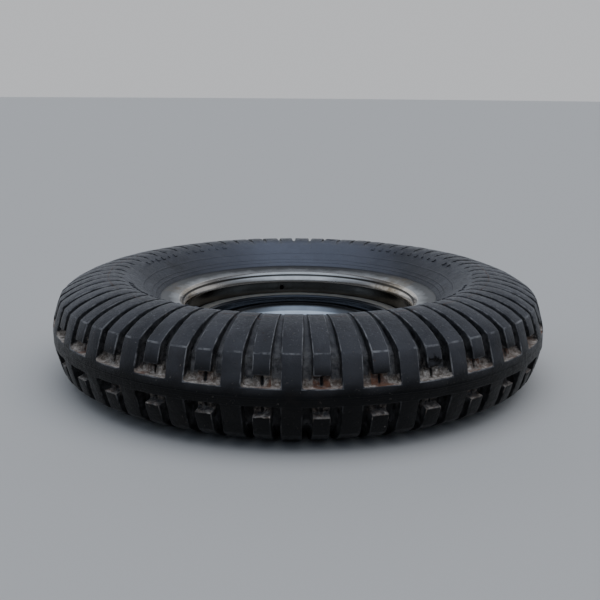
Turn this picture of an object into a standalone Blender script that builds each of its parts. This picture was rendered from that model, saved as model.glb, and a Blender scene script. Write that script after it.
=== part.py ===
"""Desk tray shaped like a small truck tyre that lies flat: a hollow rubber casing, a pressed steel rim in
two halves riveted together, and a dish that lifts out. Metres, +Z up, wheel axis on Z, standing on z = 0."""

import math

import bmesh
import bpy
from mathutils import Matrix, Vector

# Overall sizes
TYRE_RADIUS = 0.0800
TYRE_WIDTH = 0.0336
WALL_RADIUS = 0.0374

# Tread
PITCHES = 32
FIRST_PITCH = math.radians(-85.49)
RIB_WIDTH = 0.0050
POCKET_END = 0.0056
TREAD_DEPTH = 0.0040
LONG_LUG_SHARE = 0.33
SHORT_LUG_SHARE = 0.30
LUG_WIDENING = 0.22
LUG_SINK = 0.0012
LUG_BELOW_RIB = 0.0003

# Section shape, as shares of the side wall's width (bead to tread) and of the tyre's half width
CROWN_SHARE = 0.977
CREASE = (0.924, 0.655)
SIDE = (0.710, 0.910)
CREST = (0.490, 1.0)
LUG_END = (0.345, 1.0)
LUG_ROOT_SHARE = 0.29

# Casing walls
CASING_WALL = 0.0042
BEAD_THICKNESS = 0.0045
BEAD_LIP = 0.0004
BEAD_FOOT = 0.0015

# Rim pressings
SHEET = 0.0008
BRIM_WIDTH = 0.0082
BRIM_HEIGHT = 0.0090
LIP_HEIGHT = 0.0076
LIP_FLARE = 0.0010
LIP_RISE = 0.0002
BAND_HEIGHT = 0.0028
RIM_CORNER = 0.0005
RIM_JOINT = -0.0015
VENT_RADIUS = 0.0008
VENT_HEIGHT = 0.0024
VENT_ANGLE = math.radians(99.6)
VENT_CUT = 0.0048

# Dish
DISH_SHEET = 0.0007
DISH_DEPTH = 0.0081
DISH_FLANGE = 0.0050
DISH_CORNER = 0.0008
DISH_FILLET = 0.0058
DISH_FILLET_STEPS = 3
DISH_SIDE_PLAY = 0.0004

# Rivets
RIVETS = 4
RIVET_RADIUS = 0.00075
RIVET_HEAD = 0.00040
RIVET_HEAD_DEPTH = 0.00040
RIVET_TAIL = 0.00055
RIVET_PLAY = 0.0002

GAP = 0.0003
CASING_STEPS = 64
METAL_STEPS = 48
RIVET_STEPS = 12
MERGE = 0.00001
BISECT_MERGE = 0.000001
FLAT_ANGLE = math.radians(0.3)
SHARP_ANGLE = math.radians(30)

HALF_WIDTH = TYRE_WIDTH / 2
PITCH = 2 * math.pi / PITCHES
UPPER_SHELF = RIM_JOINT + GAP / 2 + SHEET
LOWER_SHELF = RIM_JOINT - GAP / 2 - SHEET
BRIM_RADIUS = WALL_RADIUS + BRIM_WIDTH
LUG_START = RIB_WIDTH / 4
BAND_FLARE = LIP_FLARE / 3
BOWL_RADIUS = WALL_RADIUS - DISH_SIDE_PLAY - DISH_FLANGE
SHELF_INNER = BOWL_RADIUS + DISH_CORNER + DISH_SHEET / 2 + GAP
FLANGE_TOP = UPPER_SHELF + GAP + DISH_SHEET
DISH_FLOOR = FLANGE_TOP - DISH_DEPTH


# Materials and scene


def material(name, colour, roughness, metallic):
    made = bpy.data.materials.new(name)
    made.use_nodes = True
    shader = made.node_tree.nodes["Principled BSDF"]
    shader.inputs["Base Color"].default_value = (*colour, 1.0)
    shader.inputs["Roughness"].default_value = roughness
    shader.inputs["Metallic"].default_value = metallic
    return made


def collection(name):
    made = bpy.data.collections.new(name)
    bpy.context.scene.collection.children.link(made)
    return made


def add_object(name, bm, group, look=None):
    """An object from a bmesh, standing on the tyre's middle plane."""
    mesh = bpy.data.meshes.new(name)
    bm.to_mesh(mesh)
    bm.free()
    obj = bpy.data.objects.new(name, mesh)
    obj.location = (0, 0, HALF_WIDTH)
    group.objects.link(obj)
    if look:
        mesh.materials.append(look)
    return obj


def as_cutter(obj):
    obj.hide_render = True
    obj.display_type = "WIRE"
    return obj


# Modifiers


def screw(obj, steps):
    turn = obj.modifiers.new("Screw", "SCREW")
    turn.axis = "Z"
    turn.angle = 2 * math.pi
    turn.steps = steps
    turn.render_steps = steps
    turn.use_merge_vertices = True
    turn.merge_threshold = MERGE
    turn.use_smooth_shade = True


def solidify(obj, thickness, offset):
    wall = obj.modifiers.new("Solidify", "SOLIDIFY")
    wall.thickness = thickness
    wall.offset = offset
    wall.use_even_offset = True


def boolean(obj, tool, operation):
    cut = obj.modifiers.new(tool.name, "BOOLEAN")
    cut.operation = operation
    cut.object = tool
    cut.solver = "EXACT"


def flatten(obj):
    """Joins triangles that lie in one plane."""
    join = obj.modifiers.new("Flatten", "DECIMATE")
    join.decimate_type = "DISSOLVE"
    join.angle_limit = FLAT_ANGLE


# Outlines in the (radius, height) plane, height counted from the middle plane


def section_point(share, rise):
    return Vector((BRIM_RADIUS + share * (TYRE_RADIUS - BRIM_RADIUS), rise * HALF_WIDTH))


def offset(points, distances):
    """The path moved to its left by a distance at each point."""
    moved = []
    for i, point in enumerate(points):
        before = (point - points[i - 1]).normalized() if i else None
        after = (points[i + 1] - point).normalized() if i + 1 < len(points) else None
        along = (before or after) + (after or before)
        normal = Vector((-along.y, along.x)).normalized()
        edge = before or after
        mitre = normal.dot(Vector((-edge.y, edge.x)))
        moved.append(point + normal * distances[i] / mitre)
    return moved


def lug_tops():
    """Outer faces of the lugs, from the short lugs' ends at the pocket to their inner ends."""
    crown = Vector((section_point(CROWN_SHARE, 0).x, POCKET_END))
    return [crown] + [section_point(*p) for p in (CREASE, SIDE, CREST, LUG_END)]


def depth_at(radius):
    root = section_point(LUG_ROOT_SHARE, 0).x
    return TREAD_DEPTH * (radius - root) / (TYRE_RADIUS - root)


def groove_floor(sink=0.0):
    tops = lug_tops()
    return offset(tops, [depth_at(p.x) + sink for p in tops])


def rim_outline(shelf):
    """Visible face of a rim half: from the brim's edge over the lip, down the wall, to the shelf's edge."""
    lip = WALL_RADIUS + LIP_FLARE
    band = LIP_HEIGHT - BAND_HEIGHT
    points = [(BRIM_RADIUS, BRIM_HEIGHT), (lip + LIP_FLARE, LIP_HEIGHT + LIP_RISE), (lip, LIP_HEIGHT)]
    points += [(WALL_RADIUS + BAND_FLARE, LIP_HEIGHT - BAND_HEIGHT / 2), (WALL_RADIUS, band)]
    points += [(WALL_RADIUS, shelf + RIM_CORNER), (WALL_RADIUS - RIM_CORNER, shelf)]
    points += [(SHELF_INNER, shelf)]
    return [Vector(p) for p in points]


def bead_seat():
    """Where the bead lies against the back of the upper rim, from its inner foot to the brim's edge."""
    outline = rim_outline(UPPER_SHELF)
    back = offset(outline, [SHEET + GAP] * len(outline))
    foot = Vector((back[4].x, back[4].y - BEAD_THICKNESS / 2))
    edge = Vector((BRIM_RADIUS + GAP, back[0].y))
    return [foot, back[4], back[1], edge]


def casing_outline():
    """Closed outline of the casing's upper half, run past the middle plane, where it is cut off."""
    below = -RIB_WIDTH
    floor = groove_floor()
    seat = bead_seat()
    rib = RIB_WIDTH / 2
    inner = offset(floor, [CASING_WALL] * len(floor))[1:4]
    bead_foot = seat[0].y - BEAD_FOOT
    outline = [Vector((TYRE_RADIUS, rib)), Vector((TYRE_RADIUS, below))]
    outline += [Vector((inner[0].x, below)), *inner]
    outline += [Vector((BRIM_RADIUS + GAP, bead_foot)), Vector((seat[0].x, bead_foot))]
    outline += seat + [Vector((BRIM_RADIUS + GAP, BRIM_HEIGHT + BEAD_LIP))]
    outline += floor[::-1] + [Vector((TYRE_RADIUS - TREAD_DEPTH, rib))]
    return outline


def dish_outline():
    """Upper face of the dish, from the flange's edge to the middle of the floor."""
    edge = WALL_RADIUS - DISH_SIDE_PLAY
    turn = BOWL_RADIUS + DISH_CORNER
    middle = DISH_FLOOR + DISH_FILLET
    points = [(edge, FLANGE_TOP), (turn, FLANGE_TOP)]
    points += [(BOWL_RADIUS, FLANGE_TOP - DISH_CORNER)]
    for step in range(DISH_FILLET_STEPS + 1):
        angle = step * math.pi / 2 / DISH_FILLET_STEPS
        across = BOWL_RADIUS - DISH_FILLET * (1 - math.cos(angle))
        points.append((across, middle - DISH_FILLET * math.sin(angle)))
    return [Vector(p) for p in points + [(0, DISH_FLOOR)]]


def rivet_outline(play):
    """Countersunk head flush with the upper shelf, shank, and a tail closed under the lower shelf."""
    shank = RIVET_RADIUS + play
    head = shank + RIVET_HEAD
    top = UPPER_SHELF
    tail = LOWER_SHELF - RIVET_PLAY
    points = [(0, top), (head, top), (shank, top - RIVET_HEAD_DEPTH), (shank, tail)]
    points += [(shank + RIVET_HEAD, tail), (shank + RIVET_HEAD, tail - RIVET_TAIL / 2)]
    return [Vector(p) for p in points + [(shank, tail - RIVET_TAIL), (0, tail - RIVET_TAIL)]]


# Bodies


def profile(points, closed=False, angle=0.0):
    """Edges through the points, in the upright plane at this angle round the axis."""
    bm = bmesh.new()
    verts = [bm.verts.new((p.x * math.cos(angle), p.x * math.sin(angle), p.y)) for p in points]
    for a, b in zip(verts, verts[1:]):
        bm.edges.new((a, b))
    if closed:
        bm.edges.new((verts[-1], verts[0]))
    return bm


def add_lug(bm, tops, bottoms, middle, half_angle):
    """A rubber block between two paths, widening towards the tyre's inner side."""
    rows = [[bm.verts.new((p.x, 0, p.y)) for p in path] for path in (tops, bottoms)]
    faces = []
    for i in range(len(tops) - 1):
        faces.append(bm.faces.new((rows[0][i], rows[0][i + 1], rows[1][i + 1], rows[1][i])))
    near = [v for row in rows for v in row]
    made = bmesh.ops.extrude_face_region(bm, geom=faces)
    far = [v for v in made["geom"] if isinstance(v, bmesh.types.BMVert)]
    span = TYRE_RADIUS - section_point(*LUG_END).x
    for side, verts in ((-1, near), (1, far)):
        for v in verts:
            widen = 1 + LUG_WIDENING * (TYRE_RADIUS - v.co.x) / span
            v.co = Matrix.Rotation(middle + side * half_angle * widen, 3, "Z") @ v.co


def tread_lugs(group):
    """All the lugs of the upper side: long ones joined to the rib, and short ones that end at a pocket."""
    bm = bmesh.new()
    tops = lug_tops()
    bottoms = groove_floor(LUG_SINK)
    long_tops = [Vector((TYRE_RADIUS - LUG_BELOW_RIB, LUG_START))] + tops
    long_bottoms = [Vector((TYRE_RADIUS - TREAD_DEPTH - LUG_SINK, LUG_START))] + bottoms
    for i in range(PITCHES):
        middle = FIRST_PITCH + i * PITCH
        add_lug(bm, tops, bottoms, middle, SHORT_LUG_SHARE * PITCH / 2)
        add_lug(bm, long_tops, long_bottoms, middle + PITCH / 2, LONG_LUG_SHARE * PITCH / 2)
    bmesh.ops.triangulate(bm, faces=bm.faces[:])
    bmesh.ops.recalc_face_normals(bm, faces=bm.faces[:])
    return as_cutter(add_object("tread_lugs", bm, group))


def tyre_casing(group, tools, look):
    outline = profile(casing_outline(), closed=True, angle=FIRST_PITCH)
    casing = add_object("tyre_casing", outline, group, look)
    screw(casing, CASING_STEPS)
    boolean(casing, tread_lugs(tools), "UNION")
    flatten(casing)
    mirror = casing.modifiers.new("Mirror", "MIRROR")
    mirror.use_axis = (False, False, True)
    mirror.use_bisect_axis = (False, False, True)
    mirror.merge_threshold = MERGE
    mirror.bisect_threshold = BISECT_MERGE


def rivet_places():
    across = (SHELF_INNER + WALL_RADIUS - RIM_CORNER) / 2
    for i in range(RIVETS):
        angle = (i + 0.5) * 2 * math.pi / RIVETS
        yield Vector((across * math.cos(angle), across * math.sin(angle), 0))


def turned(points, steps):
    """A closed body turned from an outline whose ends are on the axis."""
    bm = profile(points)
    bmesh.ops.spin(
        bm,
        geom=bm.verts[:] + bm.edges[:],
        axis=(0, 0, 1),
        cent=(0, 0, 0),
        angle=2 * math.pi,
        steps=steps,
        use_merge=True,
    )
    bmesh.ops.remove_doubles(bm, verts=bm.verts[:], dist=MERGE)
    bmesh.ops.recalc_face_normals(bm, faces=bm.faces[:])
    return bm


def rivet_holes(group):
    """One cutter with a countersunk hole for each rivet, through both shelves."""
    bm = bmesh.new()
    head, *rest = rivet_outline(RIVET_PLAY)[1:4]
    bottom = LOWER_SHELF - SHEET
    outline = [Vector((0, head.y + GAP)), Vector((head.x, head.y + GAP)), head, rest[0]]
    outline += [Vector((rest[0].x, bottom)), Vector((0, bottom))]
    for place in rivet_places():
        hole = turned(outline, RIVET_STEPS)
        bmesh.ops.translate(hole, verts=hole.verts[:], vec=place)
        mesh = bpy.data.meshes.new("hole")
        hole.to_mesh(mesh)
        hole.free()
        bm.from_mesh(mesh)
        bpy.data.meshes.remove(mesh)
    return as_cutter(add_object("rivet_holes", bm, group))


def vent_hole(group):
    """A round cutter that crosses the upper rim's wall once, along a radius."""
    bm = bmesh.new()
    bmesh.ops.create_cone(
        bm, cap_ends=True, segments=RIVET_STEPS, radius1=VENT_RADIUS, radius2=VENT_RADIUS, depth=VENT_CUT
    )
    bmesh.ops.rotate(bm, verts=bm.verts[:], matrix=Matrix.Rotation(math.pi / 2, 3, "Y"))
    bmesh.ops.translate(bm, verts=bm.verts[:], vec=(WALL_RADIUS + SHEET / 2, 0, VENT_HEIGHT))
    bmesh.ops.rotate(bm, verts=bm.verts[:], matrix=Matrix.Rotation(VENT_ANGLE, 3, "Z"))
    return as_cutter(add_object("vent_hole", bm, group))


def rims(group, tools, look):
    """The two rim halves: the same pressing but for the height of the shelf, face up and face down."""
    holes = rivet_holes(tools)
    upper = add_object("upper_rim", profile(rim_outline(UPPER_SHELF)), group, look)
    screw(upper, METAL_STEPS)
    solidify(upper, SHEET, 1.0)
    boolean(upper, holes, "DIFFERENCE")
    boolean(upper, vent_hole(tools), "DIFFERENCE")
    face_down = [Vector((p.x, -p.y)) for p in rim_outline(-LOWER_SHELF)]
    lower = add_object("lower_rim", profile(face_down[::-1]), group, look)
    screw(lower, METAL_STEPS)
    solidify(lower, SHEET, 1.0)
    boolean(lower, holes, "DIFFERENCE")


def dish(group, look):
    made = add_object("dish", profile(dish_outline()), group, look)
    screw(made, METAL_STEPS)
    solidify(made, DISH_SHEET, 1.0)


def rivets(group, look):
    for number, place in enumerate(rivet_places(), start=1):
        rivet = add_object(f"rim_rivet_{number}", turned(rivet_outline(0), RIVET_STEPS), group, look)
        rivet.location += place
        rivet.data.shade_smooth()
        rivet.data.set_sharp_from_angle(angle=SHARP_ANGLE)


def main():
    for obj in list(bpy.data.objects):
        bpy.data.objects.remove(obj)
    parts = collection("tyre_tray")
    tools = collection("cutters")
    rubber = material("tyre_rubber", (0.030, 0.032, 0.036), 0.62, 0.0)
    plated = material("plated_steel", (0.62, 0.62, 0.60), 0.18, 1.0)
    bare = material("rivet_steel", (0.45, 0.45, 0.44), 0.35, 1.0)
    tyre_casing(parts, tools, rubber)
    rims(parts, tools, plated)
    dish(parts, plated)
    rivets(parts, bare)


main()
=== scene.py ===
"""Looks of a small desk tray shaped like a truck tyre: worn block tread, plated rim, lift-out dish."""

import math

import bmesh
import bpy
from mathutils import Matrix, Vector, noise


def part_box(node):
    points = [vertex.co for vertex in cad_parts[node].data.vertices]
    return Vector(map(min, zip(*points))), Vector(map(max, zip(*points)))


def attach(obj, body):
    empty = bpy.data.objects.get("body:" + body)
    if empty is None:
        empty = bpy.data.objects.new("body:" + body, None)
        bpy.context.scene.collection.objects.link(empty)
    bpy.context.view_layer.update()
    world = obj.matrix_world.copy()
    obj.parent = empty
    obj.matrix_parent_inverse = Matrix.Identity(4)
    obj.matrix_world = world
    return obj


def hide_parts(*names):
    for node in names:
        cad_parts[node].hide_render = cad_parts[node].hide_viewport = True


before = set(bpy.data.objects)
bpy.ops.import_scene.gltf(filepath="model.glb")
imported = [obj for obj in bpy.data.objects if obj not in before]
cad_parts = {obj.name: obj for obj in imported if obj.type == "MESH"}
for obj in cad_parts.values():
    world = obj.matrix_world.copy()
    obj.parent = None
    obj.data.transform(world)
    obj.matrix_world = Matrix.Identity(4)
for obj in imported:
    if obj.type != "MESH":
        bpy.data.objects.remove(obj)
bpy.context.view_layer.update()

# Sizes read from the parts in model.glb, in metres
TYRE_LOW, TYRE_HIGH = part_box("tyre_casing")
RIM_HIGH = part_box("upper_rim")[1]
DISH_LOW, DISH_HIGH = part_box("dish")
RADIUS = (TYRE_HIGH.x - TYRE_LOW.x) / 2
HALF = (TYRE_HIGH.z - TYRE_LOW.z) / 2
MIDDLE = Vector((0, 0, TYRE_LOW.z + HALF))
BRIM_RADIUS = RIM_HIGH.x
FLANGE_RADIUS = DISH_HIGH.x
FLANGE_TOP = DISH_HIGH.z - MIDDLE.z
DISH_BOTTOM = DISH_LOW.z - MIDDLE.z

# Tread, as on the casing. Widths round the tyre are shares of a pitch
PITCHES = 32
PITCH = 2 * math.pi / PITCHES
FIRST_PITCH = math.radians(-85.49)
RIB = 0.0025
POCKET_END = 0.0056
CREASE = (RADIUS - 0.0026, 0.0110)
CREST = (0.0604, HALF)
TREAD_DEPTH = 0.0040
PAD_SHARE = 0.62
SHORT_LUG = 0.30
GROOVE = 0.175
SLIT = 0.055
NARROWING = 0.58
EDGE_ROUND = 0.00030
FLOOR_ROUND = 0.00035
BLOCK_ANGLE = math.radians(25)

# How far towards the lugs' inner ends their edges and the groove floors are rounded, as lug_fade gives it
EDGE_FADE = 0.10
FLOOR_FADE = 0.25

# Rows of faces, counted from the middle of the rib
RIB_ROWS = 1
POCKET_ROWS = 3
CREASE_ROWS = 5
SHOULDER_ROWS = 12
WALL_ROWS = 11
LUG_ROWS = CREASE_ROWS + SHOULDER_ROWS + 3

# Raised marks on the side walls, and lines round them as (radius, width)
MARKS = 104
MARK_ARCS = (0.26, 0.88)
MARK_RADIUS = 0.0548
MARK_LENGTH = 0.0018
MARK_WIDTH = 0.0012
MARK_THICKNESS = 0.0009
MARK_SUNK = 0.0002
MARK_ROUND = 0.00016
MARK_LIMIT = 0.28
LENGTH_CHANGE = 0.9
WIDTH_CHANGE = 1.3
SIDE_RINGS = ((0.0472, 0.0003), (0.0484, 0.0002), (0.0512, 0.0003))
SHOULDER_LINE = 0.0622

# Wear of the rubber. The grains are how many waves of the noise go into a metre
COARSE_WEAR = 0.00018
COARSE_GRAIN = 95
FINE_WEAR = 0.00008
FINE_GRAIN = 430
NICK_ANGLE = math.radians(77.5)
NICK_RADIUS = 0.0605
SCOOP_LENGTH = 1.25
SCOOP_HEIGHT = 0.72
SCOOP_RAGGED = 0.25
SCOOP_GRAIN = 800

# How much dust and rust lies where, from 0 to 1, and the levels from which a place is a floor or a pad
FLOOR_LEVEL = 0.9
PAD_LEVEL = 0.3
LEDGE_DUST = 1.0
PAD_DUST = 0.62
LOW_END_DUST = 0.72
LOW_PAD_DUST = 0.46
SLIT_DUST = 0.1
POCKET_RUST = 0.9
OTHER_RUST = 0.25

# Sheet metal
GAP = 0.0003
SHEET = 0.0008
DISH_SHEET = 0.0007
WALL_RADIUS = FLANGE_RADIUS + 0.0004
LIP_HEIGHT = 0.0079
LIP_RADIUS = WALL_RADIUS + 0.0011
LIP_OUTER = WALL_RADIUS + 0.0021
BRIM_HEIGHT = 0.0090
GROOVE_HEIGHT = 0.00680
BAND_END = 0.0043
UPPER_SHELF = FLANGE_TOP - DISH_SHEET - GAP
LOWER_SHELF = UPPER_SHELF - 2 * SHEET - GAP
SHELF_INNER = 0.03345
SHELF_ROUND = 0.0005
FLANGE_ROUND = 0.0004
BOWL_RADIUS = 0.0320
BOWL_ROUND = 0.0008
BOWL_FLAT = 0.0150
DISH_FLOOR = DISH_BOTTOM + DISH_SHEET
FILLET_WIDTH = 0.0054
FILLET_HEIGHT = 0.0068
FILLET_STEPS = 18
VENT_RADIUS = 0.0008
VENT_HEIGHT = 0.0024
VENT_ANGLE = math.radians(99.6)
VENT_SIDES = 24
DRILL_LENGTH = 0.006
RIVET_HEAD = 0.00112
RIVET_SHANK = 0.00075
RIVET_STEPS = 32
RIVETS = 4
TURN_STEPS = 192

# Meshes
MERGE = 1e-6
LOOSE_MERGE = 2e-6
SMOOTH_ANGLE = math.radians(35)

# Colours of the rubber, of what lies on it, and of the sheen, highlights and light painted on it. A pair is
# two colours that are mixed
RUBBER_TONES = ((0.0016, 0.0016, 0.0018), (0.0036, 0.0036, 0.0040))
# Groove dirt: the paler tone below the crease is painted light that evens out the shade there
GROOVE_TONES = ((0.120, 0.121, 0.128), (0.190, 0.186, 0.186))
DUST_TONES = ((0.20, 0.168, 0.140), (0.68, 0.63, 0.57))
# Painted sheen: grey-blue laid on the rubber where it faces up, standing in for reflected sky
UP_SHEEN_TONE = (0.071, 0.072, 0.080)
# Painted sheen: pale blue on the inner side wall, strongest in the middle of the view
SIDE_WALL_SHEEN_TONE = (0.130, 0.143, 0.180)
BROWN_TONE = (0.020, 0.014, 0.011)
# Scuffed edges and painted edge highlights: pale grey on the rounded lug edges
SCUFF_AND_HIGHLIGHT_TONE = (0.27, 0.27, 0.275)
SPECK_TONE = (0.26, 0.26, 0.265)
WORN_TONE = (0.075, 0.048, 0.040)
RUST_TONE = (0.20, 0.090, 0.052)
RUBBER_SHINE = 0.17

# Radii at which the painted sheen on the inner side wall and the specks start and are full
SIDE_WALL_SHEEN_RADII = (0.0605, 0.0565)
SPECK_RADII = (0.0550, 0.0575)

# Colours of the metal, of what lies on it, and of the shade and the dimmed reflection painted on it
PLATING_TONE = (0.84, 0.765, 0.67)
BRIM_TONE = (0.53, 0.525, 0.515)
BOWL_TONE = (0.88, 0.88, 0.86)
FLANGE_TONE = (0.66, 0.59, 0.49)
RIVET_TONE = (0.50, 0.49, 0.47)
PLAIN_TONE = (0.4, 0.4, 0.4)
HAZE_SHADE = 0.78
# Tone the satin brim darkens to towards the rubber
OUTER_DARK_TONE = (0.070, 0.068, 0.068)
TARNISH_TONE = (0.24, 0.17, 0.10)
STAIN_TONE = (0.22, 0.158, 0.080)
# Painted shade: near-black laid in the metal's recesses, gaps and dark reflections
PAINTED_SHADE_TONE = (0.040, 0.037, 0.031)
# Painted reflection: a dark bluish film that dims the sky's reflection in the bowl
DIMMED_REFLECTION_TONE = (0.04, 0.045, 0.06)

# A radius past all the metal, for a look without a satin part
BEYOND_METAL = 0.2

# How softly a band of painted shade begins and ends, in metres
SOFT_ENDS = (0.0010, 0.0004)
CRISP_ENDS = (0.0001, 0.0003)

# Floor and light
FLOOR_RADIUS = 6.0
FLOOR_SIDES = 96
FLOOR_TONE = (0.60, 0.59, 0.57)
LIGHT_FROM = Vector((0.16, -0.24, 1.0))
LIGHT_LEVEL = 1.15
LIGHT_WIDTH = math.radians(75)
LIGHT_TONE = (1.0, 0.965, 0.92)
SKY_TONE = (0.52, 0.64, 0.84)
BACK_TONE = (0.62, 0.66, 0.72)
DIM_TONE = (0.05, 0.052, 0.056)
HIGH_BACK_TONE = (0.12, 0.13, 0.155)
SEEN_TONE = (0.62, 0.63, 0.65)

# Camera
CAMERA_PLACE = (0, -0.2928, 0.0936)
CAMERA_TURN = math.radians(-0.111)
CAMERA_TILT = math.radians(90 - 13.535)
CAMERA_ROLL = math.radians(0.45)
LENS = 53.7
SENSOR_WIDTH = 36.0
NEAREST_SEEN = 0.01


# ---- Outlines: a point is (radius, height above the middle plane) ----


def points(*pairs):
    return [Vector(p) for p in pairs]


def bezier(start, first, second, end, count):
    """Points along a cubic curve, without its start."""
    made = []
    for i in range(1, count + 1):
        t = i / count
        s = 1 - t
        x, y = (
            s**3 * a + 3 * s * s * t * b + 3 * s * t * t * c + t**3 * d
            for a, b, c, d in zip(start, first, second, end)
        )
        made.append(Vector((x, y)))
    return made


def arc(centre, radius, begin, end, count):
    """Points on a circle from one angle to another, in degrees, both ends included."""
    made = []
    for i in range(count + 1):
        angle = math.radians(begin + (end - begin) * i / count)
        made.append(Vector((centre[0] + radius * math.cos(angle), centre[1] + radius * math.sin(angle))))
    return made


def normals(path):
    """Unit normals to the left of the path, one for each point."""
    made = []
    for i in range(len(path)):
        along = path[min(i + 1, len(path) - 1)] - path[max(i - 1, 0)]
        made.append(Vector((-along.y, along.x)).normalized())
    return made


def offset(path, distance):
    return [p + n * distance for p, n in zip(path, normals(path))]


def tread_outline():
    """From the middle of the rib over the shoulder and down the inner side wall to the bead."""
    bead = (BRIM_RADIUS + 0.00045, BRIM_HEIGHT + 0.00035)
    path = points((RADIUS, 0), (RADIUS, RIB), (RADIUS - 0.0003, 0.0040), (RADIUS - 0.0008, POCKET_END))
    path += points((RADIUS - 0.0016, 0.0084), CREASE)
    path += bezier(CREASE, (0.0734, 0.0144), (0.0668, HALF), CREST, SHOULDER_ROWS)
    return path + bezier(CREST, (0.0565, HALF), (0.0502, 0.0124), bead, WALL_ROWS)


# Where the lugs end on the inner side wall
ROOT_RADIUS = tread_outline()[LUG_ROWS].x


def hidden_outline():
    """The bead's seat under the brim, its foot, and the inside of the hollow casing."""
    return points(
        (0.0457, 0.0088), (0.0458, 0.0079), (0.0399, 0.0067), (0.0388, 0.0054), (0.0386, 0.0040),
        (0.0388, 0.0027), (0.0395, 0.0024), (0.0450, 0.0024), (0.0480, 0.0044), (0.0530, 0.0096),
        (0.0590, 0.0124), (0.0650, 0.0118), (0.0700, 0.0092), (0.0722, 0.0050), (0.0725, 0.0),
    )


# ---- Mesh helpers ----


def everything(bm):
    return bm.verts[:] + bm.edges[:] + bm.faces[:]


def draw_path(bm, path, angle=0.0, closed=False):
    verts = [bm.verts.new((p.x * math.cos(angle), p.x * math.sin(angle), p.y)) for p in path]
    edges = [bm.edges.new(pair) for pair in zip(verts, verts[1:])]
    if closed:
        edges.append(bm.edges.new((verts[-1], verts[0])))
    return edges


def spin(bm, geom, angle, steps, **options):
    return bmesh.ops.spin(
        bm, geom=geom, cent=(0, 0, 0), axis=(0, 0, 1), angle=angle, steps=steps, **options
    )


def turned(path, closed=False, steps=TURN_STEPS):
    """A body of revolution about Z, its normals outward."""
    bm = bmesh.new()
    spin(bm, draw_path(bm, path, closed=closed), 2 * math.pi, steps, use_merge=True)
    bmesh.ops.remove_doubles(bm, verts=bm.verts, dist=MERGE)
    bmesh.ops.recalc_face_normals(bm, faces=bm.faces)
    return bm


def mesh_from(name, bm):
    """A mesh of what was drawn, which is then let go."""
    mesh = bpy.data.meshes.new(name)
    bm.to_mesh(mesh)
    bm.free()
    return mesh


def new_object(name, data):
    obj = bpy.data.objects.new(name, data)
    bpy.context.scene.collection.objects.link(obj)
    return obj


def piece(name, bm, body, look, replaced=()):
    """A finished object in place, riding on its body."""
    bmesh.ops.translate(bm, verts=bm.verts, vec=MIDDLE)
    mesh = mesh_from(name, bm)
    mesh.shade_smooth()
    mesh.set_sharp_from_angle(angle=SMOOTH_ANGLE)
    mesh.materials.append(look)
    obj = new_object(name, mesh)
    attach(obj, body)
    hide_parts(*replaced)
    return obj


def bevel(bm, edges, width, segments):
    return bmesh.ops.bevel(
        bm, geom=edges, offset=width, offset_type="OFFSET", segments=segments, profile=0.5,
        affect="EDGES", material=-1, clamp_overlap=False, loop_slide=True,
    )


# ---- Tyre ----


def turns_of(co):
    """Place round the tread in pitches, 0 at the first pocket's middle."""
    return (math.atan2(co.y, co.x) - FIRST_PITCH) / PITCH


def phase_of(co):
    """Place round the tread in pitches, 0 at the nearest pocket's middle, from -0.5 to 0.5."""
    turns = turns_of(co)
    return turns - round(turns)


def radius_of(co):
    return math.hypot(co.x, co.y)


def lug_fade(radius):
    """1 at the tread and 0 at the lugs' inner ends."""
    return min(1.0, max(0.0, (radius - ROOT_RADIUS) / (RADIUS - ROOT_RADIUS)))


def narrowed(phase, radius):
    """The grooves close up towards the inner side, each about its own middle line."""
    inner, outer = SHORT_LUG / 2, SHORT_LUG / 2 + GROOVE
    shift = GROOVE / 2 * NARROWING * (1 - lug_fade(radius))
    stops = [0.0, inner, outer, 0.5]
    moved = [0.0, inner + shift, outer - shift, 0.5]
    size = abs(phase)
    for a, b, c, d in zip(stops, stops[1:], moved, moved[1:]):
        if size <= b + 1e-9:
            return math.copysign(c + (size - a) * (d - c) / (b - a), phase)
    return phase


def sink(bm, faces, outline, share):
    """Pushes a patch of the tread inwards by a share of the groove's depth there."""
    row, level = bm.verts.layers.int["row"], bm.verts.layers.float["level"]
    inward = normals(outline)
    made = bmesh.ops.extrude_face_region(bm, geom=faces)["geom"]
    for v in [g for g in made if isinstance(g, bmesh.types.BMVert)]:
        out = Vector((v.co.x, v.co.y, 0)).normalized()
        along = inward[v[row]]
        depth = TREAD_DEPTH * share * lug_fade(outline[v[row]].x)
        v.co += (out * along.x + Vector((0, 0, along.y))) * depth
        v[level] += share
    bmesh.ops.delete(bm, geom=faces, context="FACES")
    return [g for g in made if isinstance(g, bmesh.types.BMFace)]


def sharp_edges(bm, convex, least_fade):
    """Sharp edges of the blocks, or of the groove floors, away from the middle plane and the lugs' ends."""
    found = []
    for e in bm.edges:
        if len(e.link_faces) == 2 and e.is_convex == convex and e.calc_face_angle() > BLOCK_ANGLE:
            middle = (e.verts[0].co + e.verts[1].co) / 2
            if lug_fade(radius_of(middle)) > least_fade and middle.z > RIB / 2:
                found.append(e)
    return found


def plain_pitch(outline):
    """One pitch of the upper half: half a long lug, a groove, a short lug over a pocket, and again."""
    bm = bmesh.new()
    row = bm.verts.layers.int.new("row")
    bm.verts.layers.float.new("level")
    bm.faces.layers.float.new("rubbed_and_lit_edge")
    geom = draw_path(bm, outline, FIRST_PITCH - PITCH / 2)
    for i, v in enumerate(bm.verts):
        v[row] = i
    half_long = 0.5 - SHORT_LUG / 2 - GROOVE
    half_short = (SHORT_LUG - SLIT) / 2
    for share in (half_long, GROOVE, half_short, SLIT, half_short, GROOVE, half_long):
        geom = spin(bm, geom, share * PITCH, 1)["geom_last"]
    return bm


def first_row(face, row):
    return min(v[row] for v in face.verts)


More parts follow.
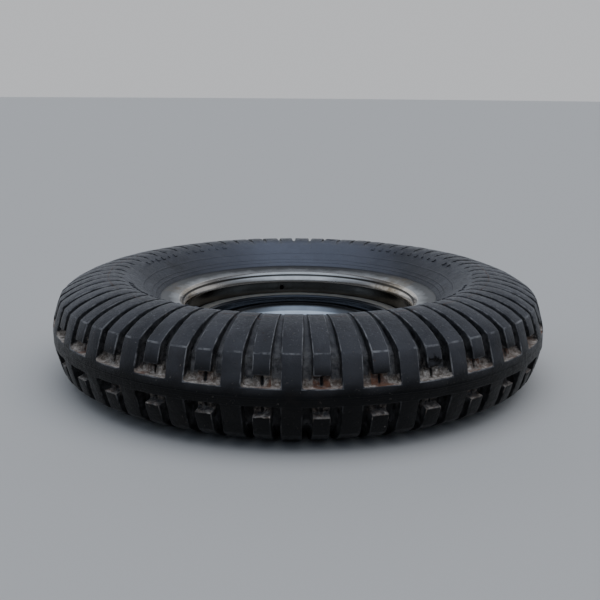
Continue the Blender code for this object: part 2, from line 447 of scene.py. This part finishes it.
def is_cut(face, row):
    """True where the tread is cut: in the grooves beside a short lug, and in the pocket under it."""
    here, phase = first_row(face, row), abs(turns_of(face.calc_center_median()))
    in_groove = SHORT_LUG / 2 < phase < SHORT_LUG / 2 + GROOVE
    in_pocket = here < POCKET_ROWS and phase < SHORT_LUG / 2
    return RIB_ROWS <= here < LUG_ROWS and (in_groove or in_pocket)


def is_pad(face, row):
    """True on the raised pads in a pocket, on both sides of its slit."""
    phase = abs(phase_of(face.calc_center_median()))
    return first_row(face, row) < POCKET_ROWS and SLIT / 2 < phase < SHORT_LUG / 2


def tread_pitch():
    """One pitch of the upper half with its grooves cut and its edges rounded."""
    outline = tread_outline() + hidden_outline()
    bm = plain_pitch(outline)
    row, rubbed_and_lit_edge = bm.verts.layers.int["row"], bm.faces.layers.float["rubbed_and_lit_edge"]
    cut = [face for face in bm.faces if is_cut(face, row)]
    for v in bm.verts:
        radius = radius_of(v.co)
        angle = FIRST_PITCH + PITCH * narrowed(turns_of(v.co), radius)
        v.co = Vector((radius * math.cos(angle), radius * math.sin(angle), v.co.z))
    sunk = sink(bm, cut, outline, PAD_SHARE)
    sink(bm, [face for face in sunk if not is_pad(face, row)], outline, 1 - PAD_SHARE)
    bmesh.ops.remove_doubles(bm, verts=bm.verts, dist=MERGE)
    bmesh.ops.recalc_face_normals(bm, faces=bm.faces)
    for face in bevel(bm, sharp_edges(bm, True, EDGE_FADE), EDGE_ROUND, 2)["faces"]:
        face[rubbed_and_lit_edge] = 1.0
    bevel(bm, sharp_edges(bm, False, FLOOR_FADE), FLOOR_ROUND, 1)
    return bm


def casing():
    bm = tread_pitch()
    spin(bm, everything(bm), 2 * math.pi - PITCH, PITCHES - 1, use_duplicate=True)
    bmesh.ops.remove_doubles(bm, verts=bm.verts, dist=LOOSE_MERGE)
    bmesh.ops.mirror(bm, geom=everything(bm), axis="Z", merge_dist=LOOSE_MERGE)
    bmesh.ops.recalc_face_normals(bm, faces=bm.faces)
    return bm


def dust_at(co, level):
    """How much dust lies there, from 0 to 1. The level is 0 on the lugs and 1 on the groove floors."""
    height, phase = abs(co.z), abs(phase_of(co))
    if level > FLOOR_LEVEL and phase < SLIT:
        return SLIT_DUST
    on_pad = level > PAD_LEVEL and phase < SHORT_LUG / 2 + 0.01 and height < POCKET_END + 0.0004
    if co.z > 0:
        on_ledge = level > 0 and phase < SHORT_LUG / 2 + GROOVE and height < RIB + 0.0012
        return LEDGE_DUST if on_ledge else PAD_DUST * on_pad
    on_end = abs(height - POCKET_END) < 0.0004 and phase < SHORT_LUG / 2
    deep = RADIUS - radius_of(co) > 0.0009
    return LOW_END_DUST if on_end and deep else LOW_PAD_DUST * on_pad


def settle_dust(bm):
    dust, sunk, rust = (bm.verts.layers.float.new(name) for name in ("dust", "sunk", "rust"))
    level = bm.verts.layers.float["level"]
    for v in bm.verts:
        v[dust] = dust_at(v.co, v[level])
        v[sunk] = min(1.0, v[level])
        v[rust] = POCKET_RUST if v.co.z > 0 and abs(phase_of(v.co)) < SHORT_LUG / 2 else OTHER_RUST


def middle_of(edge):
    return sum((v.co for v in edge.verts), Vector()) / 2


def scoop(bm, angle, radius, height, size, depth, tilt=0.0, inward=True):
    """A ragged scoop knocked out of the rubber, longer than it is high, turned by a tilt."""
    middle = Vector((radius * math.cos(angle), radius * math.sin(angle), height))
    near = [e for e in bm.edges if (middle_of(e) - middle).length < 2 * size]
    bmesh.ops.subdivide_edges(bm, edges=near, cuts=4, use_grid_fill=True)
    out = Vector((middle.x, middle.y, 0)).normalized()
    side = Matrix.Rotation(tilt, 3, out) @ Vector((-out.y, out.x, 0))
    push = out if inward else Vector((0, 0, 1))
    for v in bm.verts:
        gap = v.co - middle
        if gap.length > 2 * size:
            continue
        along = gap.dot(side)
        rest = (gap - side * along).length
        away = math.hypot(along / SCOOP_LENGTH, rest / SCOOP_HEIGHT) / size
        away += noise.noise(v.co * SCOOP_GRAIN) * SCOOP_RAGGED
        if away < 1:
            v.co -= push * depth * math.sqrt(1 - away * away if away > 0 else 1)


def knock(bm):
    """A large chip on one short lug, a nick in the side wall behind, and small chips on three more lugs."""
    chipped = FIRST_PITCH + 2 * PITCH + 0.006
    scoop(bm, chipped, RADIUS - 0.0009, 0.0060, 0.0024, 0.0009, tilt=-0.45)
    scoop(bm, NICK_ANGLE, NICK_RADIUS, HALF, 0.0016, 0.0009, inward=False)
    scoop(bm, FIRST_PITCH + 6.5 * PITCH, *CREASE, 0.0011, 0.0005, tilt=0.8)
    scoop(bm, FIRST_PITCH + 11 * PITCH, RADIUS - 0.0012, 0.0072, 0.0013, 0.0006, tilt=0.3)
    scoop(bm, FIRST_PITCH + 20 * PITCH, RADIUS - 0.0012, 0.0080, 0.0015, 0.0006, tilt=-0.6)


def age(bm):
    """Old rubber: its faces a little uneven, but no higher than the flat crests."""
    for v in bm.verts:
        coarse = noise.noise(v.co * COARSE_GRAIN)
        fine = noise.noise(v.co * FINE_GRAIN + Vector((7, 3, 5)))
        v.co += v.normal * (coarse * COARSE_WEAR + fine * FINE_WEAR)
        v.co.z = min(HALF, max(-HALF, v.co.z))


def side_marks():
    """Rows of plain raised blocks of several sizes on both side walls, tilted to the wall's slope."""
    bm = bmesh.new()
    wall = tread_outline()[LUG_ROWS:]
    at = min(range(1, len(wall) - 1), key=lambda i: abs(wall[i].x - MARK_RADIUS))
    slope = math.atan2(wall[at - 1].y - wall[at + 1].y, wall[at - 1].x - wall[at + 1].x)
    for number in range(MARKS):
        angle = 2 * math.pi * number / MARKS
        chance = noise.noise(Vector((number * 0.77, 0.3, 0.6)))
        if not MARK_ARCS[0] < abs(math.sin(angle)) < MARK_ARCS[1] or chance > MARK_LIMIT:
            continue
        made = bmesh.ops.create_cube(bm, size=1.0)["verts"]
        long = MARK_LENGTH * (1 - LENGTH_CHANGE * abs(chance))
        wide = MARK_WIDTH * (1 + WIDTH_CHANGE * chance)
        bmesh.ops.scale(bm, verts=made, vec=(long, wide, MARK_THICKNESS))
        bmesh.ops.rotate(bm, verts=made, matrix=Matrix.Rotation(-slope, 3, "Y"))
        bmesh.ops.translate(bm, verts=made, vec=(wall[at].x, 0, wall[at].y - MARK_SUNK))
        bmesh.ops.rotate(bm, verts=made, matrix=Matrix.Rotation(angle, 3, "Z"))
    bevel(bm, bm.edges[:], MARK_ROUND, 1)
    bmesh.ops.mirror(bm, geom=everything(bm), axis="Z", merge_dist=MERGE)
    bmesh.ops.recalc_face_normals(bm, faces=bm.faces)
    return bm


# ---- Node helpers ----


def new_look(name, roughness, metallic=0.0):
    made = bpy.data.materials.new(name)
    made.use_nodes = True
    shader = made.node_tree.nodes["Principled BSDF"]
    shader.inputs["Roughness"].default_value = roughness
    shader.inputs["Metallic"].default_value = metallic
    return made, made.node_tree, shader


def add(tree, kind, inputs=(), **settings):
    """A node with its settings, and its inputs set to a value or joined to another node's output."""
    node = tree.nodes.new(kind)
    for name, value in settings.items():
        setattr(node, name, value)
    for name, value in dict(inputs).items():
        if isinstance(value, bpy.types.NodeSocket):
            tree.links.new(value, node.inputs[name])
        else:
            node.inputs[name].default_value = value
    return node


def coordinate(tree, kind):
    return add(tree, "ShaderNodeTexCoord").outputs[kind]


def place(tree):
    return coordinate(tree, "Object")


def split(tree, vector):
    return add(tree, "ShaderNodeSeparateXYZ", {"Vector": vector}).outputs


def cloud(tree, scale, detail=4.0, roughness=0.6, at=None):
    inputs = {"Vector": at or place(tree), "Scale": scale, "Detail": detail, "Roughness": roughness}
    return add(tree, "ShaderNodeTexNoise", inputs).outputs["Fac"]


def spread(tree, value, low, high, to_low=0.0, to_high=1.0):
    inputs = {"Value": value, "From Min": low, "From Max": high, "To Min": to_low, "To Max": to_high}
    return add(tree, "ShaderNodeMapRange", inputs, clamp=True).outputs["Result"]


def patchy(tree, scale, low, high, to_low=0.0, to_high=1.0, detail=4.0, roughness=0.6):
    """Patches where the noise goes from one level to another, with the value to use at each."""
    return spread(tree, cloud(tree, scale, detail, roughness), low, high, to_low, to_high)


def maths(tree, operation, a, b=0.0):
    return add(tree, "ShaderNodeMath", {0: a, 1: b}, operation=operation).outputs["Value"]


def product(tree, first, *others):
    for value in others:
        first = maths(tree, "MULTIPLY", first, value)
    return first


def blend(tree, share, under, over):
    """Two colours mixed. A plain colour is a tuple of red, green and blue."""
    node = add(tree, "ShaderNodeMix", {0: share}, data_type="RGBA")
    for socket, value in zip((node.inputs[6], node.inputs[7]), (under, over)):
        if isinstance(value, tuple):
            socket.default_value = (*value, 1.0)
        else:
            tree.links.new(value, socket)
    return node.outputs[2]


def bumped(tree, height, distance, under=None):
    inputs = {"Height": height, "Distance": distance, "Strength": 1.0}
    if under:
        inputs["Normal"] = under
    return add(tree, "ShaderNodeBump", inputs).outputs["Normal"]


def attribute(tree, name):
    return add(tree, "ShaderNodeAttribute", attribute_name=name).outputs["Fac"]


def distances(tree):
    """Distance from the wheel's axis, and height off its middle plane without its sign and with it."""
    x, y, z = split(tree, place(tree))
    radius = maths(tree, "SQRT", maths(tree, "ADD", product(tree, x, x), product(tree, y, y)))
    height = maths(tree, "SUBTRACT", z, MIDDLE.z)
    return radius, maths(tree, "ABSOLUTE", height), height


def away_from(tree, value, centre):
    return maths(tree, "ABSOLUTE", maths(tree, "SUBTRACT", value, centre))


# ---- Rubber ----


def rubber_with_painted_sheen(tree, radius, up):
    """Black rubber with painted sheen, grey where it faces up and bluish on the inner side wall, and brown
    in a few patches.
    """
    body = blend(tree, patchy(tree, 55, 0.35, 0.65), *RUBBER_TONES)
    # Painted sheen: greyer where the face looks up, in patches
    up_sheen = product(tree, spread(tree, up, 0.02, 0.42), patchy(tree, 70, 0.30, 0.65, 0.55, 1.0, detail=5))
    body = blend(tree, up_sheen, body, UP_SHEEN_TONE)
    sideways = maths(tree, "ABSOLUTE", split(tree, place(tree))["X"])
    # Painted sheen on the inner side wall, fading towards the sides in x and where the wall faces down
    side_wall_sheen = product(
        tree,
        spread(tree, radius, *SIDE_WALL_SHEEN_RADII),
        patchy(tree, 30, 0.3, 0.7, 0.45, 1.0),
        spread(tree, up, 0.0, 0.4),
        spread(tree, sideways, 0.012, 0.042, 1.0, 0.1),
    )
    body = blend(tree, side_wall_sheen, body, SIDE_WALL_SHEEN_TONE)
    return blend(tree, patchy(tree, 120, 0.58, 0.75, 0, 0.3, detail=5), body, BROWN_TONE)


def groove_dust_and_fill_light(tree, body, height, up):
    """Grey dirt on the floors of the grooves, paler below the crease as painted light against the shade
    there, and how much of it lies there.
    """
    dirt = product(
        tree,
        attribute(tree, "sunk"),
        patchy(tree, 460, 0.40, 0.62, 0.12, 1.0, detail=6, roughness=0.7),
        spread(tree, up, -0.25, 0.08, 0.12, 1.0),
    )
    # Painted light: the dirt turns paler below the crease, where the floor lies in shade
    tone = blend(tree, spread(tree, height, 0.0125, 0.0095), *GROOVE_TONES)
    return blend(tree, dirt, body, tone), dirt


def worn_line(tree, radius):
    """A broken reddish line round the shoulder of the lugs."""
    wobble = patchy(tree, 60, 0.3, 0.7, -0.0004, 0.0004)
    near = away_from(tree, maths(tree, "ADD", radius, wobble), SHOULDER_LINE)
    breaks = patchy(tree, 110, 0.42, 0.56, 0, 0.9, detail=3)
    return product(tree, spread(tree, near, 0.00030, 0.00010), breaks)


def wear_marks_and_edge_highlights(tree, body, radius, up):
    """Scuffed lug edges with painted edge highlights, pale specks on the crest, and the worn line."""
    # Painted highlight and scuffing on the rounded lug edges, stronger where they face up
    scuffs_and_highlights = product(
        tree,
        attribute(tree, "rubbed_and_lit_edge"),
        patchy(tree, 240, 0.44, 0.66, 0.0, 0.85, detail=6, roughness=0.7),
        spread(tree, up, -0.3, 0.3, 0.12, 1.0),
    )
    specks = product(
        tree,
        patchy(tree, 1500, 0.62, 0.70, 0.0, 0.6, detail=3),
        spread(tree, up, 0.75, 0.95),
        spread(tree, radius, *SPECK_RADII),
    )
    body = blend(tree, scuffs_and_highlights, body, SCUFF_AND_HIGHLIGHT_TONE)
    body = blend(tree, specks, body, SPECK_TONE)
    return blend(tree, worn_line(tree, radius), body, WORN_TONE)


def pocket_dust(tree, body):
    """Ragged pale dust, rustier in some of the pockets, and how much of it lies there."""
    edges = patchy(tree, 900, 0.3, 0.7, -0.60, 0.35, detail=6, roughness=0.75)
    dusty = spread(tree, maths(tree, "ADD", attribute(tree, "dust"), edges), 0.15, 0.75)
    dust = blend(tree, patchy(tree, 620, 0.42, 0.62, detail=6, roughness=0.75), *DUST_TONES)
    rust = product(
        tree, patchy(tree, 300, 0.40, 0.56), attribute(tree, "rust"), patchy(tree, 45, 0.41, 0.51, detail=1)
    )
    return blend(tree, dusty, body, blend(tree, rust, dust, RUST_TONE)), dusty


def rubber_relief(tree, radius, height, dusty):
    """Grain and wear, mould lines and the parting line on the rib, side wall rings, and crusted dust."""
    grain = bumped(tree, cloud(tree, 2600, 3), 0.00005)
    worn = bumped(tree, cloud(tree, 260, 7, 0.75), 0.00035, grain)
    stretched = add(tree, "ShaderNodeMapping", {"Vector": place(tree), "Scale": (12, 12, 2200)})
    lines = cloud(tree, 1.0, 2, 0.6, stretched.outputs["Vector"])
    relief = bumped(tree, product(tree, lines, spread(tree, height, RIB, RIB - 0.0002)), 0.00016, worn)
    relief = bumped(tree, spread(tree, height, 0.00005, 0.00022, 1.0, 0.0), 0.00010, relief)
    for ring, width in SIDE_RINGS:
        near = away_from(tree, radius, ring)
        relief = bumped(tree, spread(tree, near, width, width / 2), 0.00015, relief)
    return bumped(tree, product(tree, dusty, cloud(tree, 1300, 3)), 0.0006, relief)


def rubber_look():
    made, tree, shader = new_look("old_moulded_rubber", 0.5)
    shader.inputs["Specular IOR Level"].default_value = RUBBER_SHINE
    radius, height, _ = distances(tree)
    up = split(tree, coordinate(tree, "Normal"))["Z"]
    body, dirt = groove_dust_and_fill_light(tree, rubber_with_painted_sheen(tree, radius, up), height, up)
    body, dusty = pocket_dust(tree, wear_marks_and_edge_highlights(tree, body, radius, up))
    tree.links.new(body, shader.inputs["Base Color"])
    dull = patchy(tree, 900, 0.4, 0.7, 0.34, 0.50, detail=2)
    dull = maths(tree, "MAXIMUM", dull, spread(tree, dusty, 0, 1, 0, 0.95))
    dull = maths(tree, "MAXIMUM", dull, spread(tree, dirt, 0, 1, 0, 0.8))
    tree.links.new(dull, shader.inputs["Roughness"])
    tree.links.new(rubber_relief(tree, radius, height, dusty), shader.inputs["Normal"])
    return made


# ---- Metal ----


def darkened_towards_rubber(tree, plate, radius, edge, satin):
    """The satin part darker towards the rubber, in ragged patches."""
    outward_darkening = maths(
        tree,
        "ADD",
        spread(tree, radius, edge + 0.0007, BRIM_RADIUS - 0.0018),
        patchy(tree, 210, 0.3, 0.7, -0.3, 0.3, detail=6, roughness=0.7),
    )
    return blend(tree, product(tree, spread(tree, outward_darkening, 0.05, 0.75, 0, 0.86), satin), plate, OUTER_DARK_TONE)


def stained(tree, plate, stains):
    """Tarnish in patches, and brown stains with ragged edges, each round a point with a reach."""
    plate = blend(tree, patchy(tree, 75, 0.62, 0.76, 0, 0.55, detail=5, roughness=0.7), plate, TARNISH_TONE)
    ragged = cloud(tree, 260, 6, 0.7)
    for spot, reach in stains:
        away = add(tree, "ShaderNodeVectorMath", {0: place(tree), 1: spot}, operation="DISTANCE")
        core = spread(tree, away.outputs["Value"], reach, 0.0, -0.35, 0.75)
        stain = maths(tree, "ADD", core, spread(tree, ragged, 0.35, 0.65, -0.3, 0.3))
        plate = blend(tree, spread(tree, stain, 0, 0.7, 0, 0.75), plate, STAIN_TONE)
    return plate


def metal_look(name, tone, roughness, haze, satin, shaded_bands, stains=(), dimmed_reflection=None):
    """Bright plating with hazy patches and tarnish.

    Outside the satin's radius the metal has the satin's tone and roughness, and grows darker towards the
    rubber.
    Inside it, painted shade lies between each low and high end, each with its softness, and a dark film,
    painted to dim the reflection, lies from the first height of the film upwards, in full from the second.
    """
    made, tree, shader = new_look(name, roughness, 1.0)
    radius, _, height = distances(tree)
    edge, satin_tone, satin_roughness = satin
    outside = spread(tree, radius, edge, edge + 0.0005)
    inside = spread(tree, radius, edge, edge - 0.0002)
    patches = patchy(tree, 130, 0.35, 0.7, detail=6, roughness=0.65)
    plate = blend(tree, patches, tone, tuple(HAZE_SHADE * part for part in tone))
    plate = blend(tree, outside, plate, satin_tone)
    plate = darkened_towards_rubber(tree, plate, radius, edge, outside)
    plate = stained(tree, plate, stains)
    # Painted shade: bands between two heights darkened inside the satin's radius
    for low, high, rise, fall in shaded_bands:
        above = spread(tree, height, low - rise, low)
        painted_shade = product(tree, above, spread(tree, height, high + fall, high), inside)
        plate = blend(tree, spread(tree, painted_shade, 0, 1, 0, 0.92), plate, PAINTED_SHADE_TONE)
    # Painted reflection: the upper bowl darkened to dim what it reflects
    if dimmed_reflection:
        dimmed_share = product(tree, spread(tree, height, *dimmed_reflection), inside)
        plate = blend(tree, spread(tree, dimmed_share, 0, 1, 0, 0.58), plate, DIMMED_REFLECTION_TONE)
    tree.links.new(plate, shader.inputs["Base Color"])
    dull = spread(tree, patches, 0, 1, roughness, roughness + haze)
    dull = maths(tree, "MAXIMUM", dull, spread(tree, outside, 0, 1, 0, satin_roughness))
    tree.links.new(dull, shader.inputs["Roughness"])
    pits = bumped(tree, cloud(tree, 1500, 3), 0.00001)
    tree.links.new(bumped(tree, cloud(tree, 90, 3), 0.00005, pits), shader.inputs["Normal"])
    return made


# ---- Sheet metal pieces ----


def sheet_outline(face, thickness):
    """Closed outline of a sheet whose visible face is the path; the sheet lies to the path's left."""
    return face + offset(face, thickness)[::-1]


def rim_face(shelf):
    """Visible face of a rim half: brim, slanted lip, groove, bright band, wall, shelf."""
    lip_end = (LIP_OUTER + 0.0004, LIP_HEIGHT)
    lip_foot = (LIP_RADIUS + 0.0002, 0.00705)
    band_end = (WALL_RADIUS, BAND_END)
    face = points((BRIM_RADIUS, BRIM_HEIGHT - 0.0001), (BRIM_RADIUS - 0.0003, BRIM_HEIGHT))
    face += bezier(face[-1], (0.0436, 0.0087), (0.0414, LIP_HEIGHT + 0.0004), lip_end, 6)
    face += bezier(face[-1], (LIP_OUTER, LIP_HEIGHT), (LIP_RADIUS + 0.0005, 0.0074), lip_foot, 7)
    face += points((lip_foot[0], GROOVE_HEIGHT + 0.0001), (LIP_RADIUS, GROOVE_HEIGHT - 0.0002))
    face += bezier(face[-1], (LIP_RADIUS - 0.0006, 0.0061), (WALL_RADIUS + 0.00005, 0.0053), band_end, 8)
    face += points((WALL_RADIUS, (BAND_END + shelf) / 2))
    face += arc((WALL_RADIUS - SHELF_ROUND, shelf + SHELF_ROUND), SHELF_ROUND, 0, -90, 4)
    return face + points((SHELF_INNER, shelf))


def rim_half(shelf, up):
    bm = turned(sheet_outline(rim_face(shelf), SHEET), closed=True)
    if not up:
        bmesh.ops.scale(bm, verts=bm.verts, vec=(1, 1, -1))
        bmesh.ops.recalc_face_normals(bm, faces=bm.faces)
    return bm


def drill_mesh():
    """A rod that lies across the rim's wall where the vent goes."""
    bm = bmesh.new()
    bmesh.ops.create_cone(
        bm, cap_ends=True, segments=VENT_SIDES, radius1=VENT_RADIUS, radius2=VENT_RADIUS, depth=DRILL_LENGTH
    )
    bmesh.ops.rotate(bm, verts=bm.verts, matrix=Matrix.Rotation(math.radians(90), 3, "Y"))
    bmesh.ops.translate(bm, verts=bm.verts, vec=(WALL_RADIUS, 0, VENT_HEIGHT + MIDDLE.z))
    bmesh.ops.rotate(bm, verts=bm.verts, matrix=Matrix.Rotation(VENT_ANGLE, 3, "Z"))
    return mesh_from("drill", bm)


def drill_vent(obj):
    """The small round hole in the rim's wall."""
    drill = new_object("drill", drill_mesh())
    cut = obj.modifiers.new("vent", "BOOLEAN")
    cut.operation, cut.object, cut.solver = "DIFFERENCE", drill, "EXACT"
    bpy.context.view_layer.update()
    graph = bpy.context.evaluated_depsgraph_get()
    drilled = bpy.data.meshes.new_from_object(obj.evaluated_get(graph))
    obj.modifiers.clear()
    obj.data = drilled
    bpy.data.objects.remove(drill)


def dish_mesh():
    """Flange, wall and floor of the dish, with an oval fillet between the wall and the floor."""
    face = arc((FLANGE_RADIUS - FLANGE_ROUND, FLANGE_TOP - FLANGE_ROUND), FLANGE_ROUND, 0, 90, 3)
    face += arc((BOWL_RADIUS + BOWL_ROUND, FLANGE_TOP - BOWL_ROUND), BOWL_ROUND, 90, 180, 4)
    for p in arc((0, 0), 1.0, 0, -90, FILLET_STEPS):
        radius, height = BOWL_RADIUS + FILLET_WIDTH * (p.x - 1), DISH_FLOOR + FILLET_HEIGHT * (p.y + 1)
        face.append(Vector((radius, height)))
    face += points((BOWL_FLAT, DISH_FLOOR), (0, DISH_FLOOR))
    back = offset(face, DISH_SHEET)
    back[0] = face[0] + Vector((0, -0.0003))
    back[-1].x = 0
    return turned(face + back[::-1])


def rivet_mesh(spot):
    """A rivet with a sunk head level with the upper shelf and a round head under the lower one."""
    top, tail = UPPER_SHELF, LOWER_SHELF - 0.0002
    path = points((0, top), (RIVET_HEAD, top), (RIVET_SHANK, top - 0.0004))
    path += points((RIVET_SHANK, tail), (RIVET_HEAD, tail))
    path += arc((RIVET_SHANK, tail - 0.00025), 0.0004, 0, -90, 4)[1:] + points((0, tail - 0.0007))
    bm = turned(path, steps=RIVET_STEPS)
    bmesh.ops.translate(bm, verts=bm.verts, vec=spot)
    return bm


# ---- The object ----


def build_tyre():
    bm = casing()
    settle_dust(bm)
    knock(bm)
    bm.normal_update()
    age(bm)
    rubber = rubber_look()
    piece("tyre", bm, "wheel", rubber, ["tyre_casing"])
    piece("side_wall_marks", side_marks(), "wheel", rubber)


def rim_plating():
    lip = MIDDLE.z + LIP_HEIGHT - 0.001
    # Painted shade on the wall below the band, under the lip, and a painted shadow in the groove between
    # the lip and the band
    wall = (UPPER_SHELF, BAND_END, *SOFT_ENDS)
    groove = (GROOVE_HEIGHT - 0.0003, GROOVE_HEIGHT + 0.00015, *CRISP_ENDS)
    stains = (((-0.0372, 0.0065, lip), 0.013), ((0.0325, 0.0190, lip - 0.001), 0.014))
    return metal_look(
        "worn_plating", PLATING_TONE, roughness=0.13, haze=0.16, satin=(LIP_OUTER, BRIM_TONE, 0.36),
        shaded_bands=(wall, groove), stains=stains,
    )


def dish_plating():
    return metal_look(
        "dish_plating", BOWL_TONE, roughness=0.07, haze=0.06,
        satin=(BOWL_RADIUS + 0.0009, FLANGE_TONE, 0.58),
        # Painted shade: a dark band on the bowl's wall below the flange, standing in for the dark it
        # reflects
        shaded_bands=((-0.0028, FLANGE_TOP, *SOFT_ENDS),),
        # Painted reflection: the bowl dimmed from just above its floor upwards
        dimmed_reflection=(DISH_FLOOR + 0.0023, DISH_FLOOR + 0.0027),
    )


def rivet_look():
    return metal_look(
        "rivet_steel", RIVET_TONE, roughness=0.30, haze=0.2, satin=(BEYOND_METAL, PLAIN_TONE, 0.4),
        # Painted shade on the rivets, which lie between the rim halves and under the dish
        shaded_bands=((LOWER_SHELF, UPPER_SHELF, *SOFT_ENDS),),
    )


def build_metal():
    plated, clean, steel = rim_plating(), dish_plating(), rivet_look()
    front, back = rim_half(UPPER_SHELF, True), rim_half(-LOWER_SHELF, False)
    drill_vent(piece("rim_face_ring", front, "wheel", plated, ["upper_rim"]))
    piece("rim_back_ring", back, "wheel", plated, ["lower_rim"])
    piece("lift_out_dish", dish_mesh(), "dish", clean, ["dish"])
    for number in range(1, RIVETS + 1):
        low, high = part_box(f"rim_rivet_{number}")
        spot = Vector(((low.x + high.x) / 2, (low.y + high.y) / 2, 0))
        piece(f"rivet_{number}", rivet_mesh(spot), "wheel", steel, [f"rim_rivet_{number}"])


# ---- Floor, light and camera ----


def build_stage():
    bm = bmesh.new()
    bmesh.ops.create_circle(bm, cap_ends=True, radius=FLOOR_RADIUS, segments=FLOOR_SIDES)
    mesh = mesh_from("floor", bm)
    made, _, shader = new_look("pale_floor", 0.85)
    shader.inputs["Base Color"].default_value = (*FLOOR_TONE, 1.0)
    mesh.materials.append(made)
    floor = new_object("floor", mesh)


def room_tone(tree, along, across, up):
    """The room's colour by direction.

    It is pale low behind and dim above that, pale blue overhead and high in front, and dark low in front.
    """
    behind = product(
        tree,
        spread(tree, up, 0.66, 0.50),
        spread(tree, across, -0.10, 0.30),
        spread(tree, along, 0.1, 0.7, 1.0, 0.55),
    )
    front_sky = product(
        tree,
        spread(tree, across, 0.35, 0.0),
        spread(tree, up, 0.30, 0.46),
        spread(tree, maths(tree, "ABSOLUTE", along), 0.75, 0.35, 0.25, 1.0),
    )
    overhead = maths(tree, "MAXIMUM", front_sky, spread(tree, up, 0.88, 0.95))
    dim = blend(tree, spread(tree, across, -0.1, 0.2), DIM_TONE, HIGH_BACK_TONE)
    return blend(tree, behind, blend(tree, overhead, dim, SKY_TONE), BACK_TONE)


def build_light():
    world = bpy.data.worlds.new("soft_room")
    bpy.context.scene.world = world
    world.use_nodes = True
    tree = world.node_tree
    sky = tree.nodes["Background"]
    tone = room_tone(tree, *split(tree, coordinate(tree, "Generated")))
    seen = add(tree, "ShaderNodeLightPath").outputs["Is Camera Ray"]
    tree.links.new(blend(tree, seen, tone, SEEN_TONE), sky.inputs["Color"])
    sky.inputs["Strength"].default_value = 1.0
    lamp = bpy.data.lights.new("wide_soft_light", "SUN")
    lamp.energy = LIGHT_LEVEL
    lamp.angle = LIGHT_WIDTH
    lamp.color = LIGHT_TONE
    obj = new_object("wide_soft_light", lamp)
    obj.rotation_euler = LIGHT_FROM.to_track_quat("Z", "Y").to_euler()
    obj.visible_glossy = False


def build_camera():
    data = bpy.data.cameras.new("camera")
    data.lens = LENS
    data.sensor_width = SENSOR_WIDTH
    data.clip_start = NEAREST_SEEN
    camera = new_object("camera", data)
    turn = Matrix.Rotation(CAMERA_TURN, 4, "Z")
    tilt = Matrix.Rotation(CAMERA_TILT, 4, "X")
    roll = Matrix.Rotation(CAMERA_ROLL, 4, "Z")
    camera.matrix_world = Matrix.Translation(CAMERA_PLACE) @ turn @ tilt @ roll
    bpy.context.scene.camera = camera


def main():
    build_camera()
    build_stage()
    build_light()
    build_tyre()
    build_metal()


main()
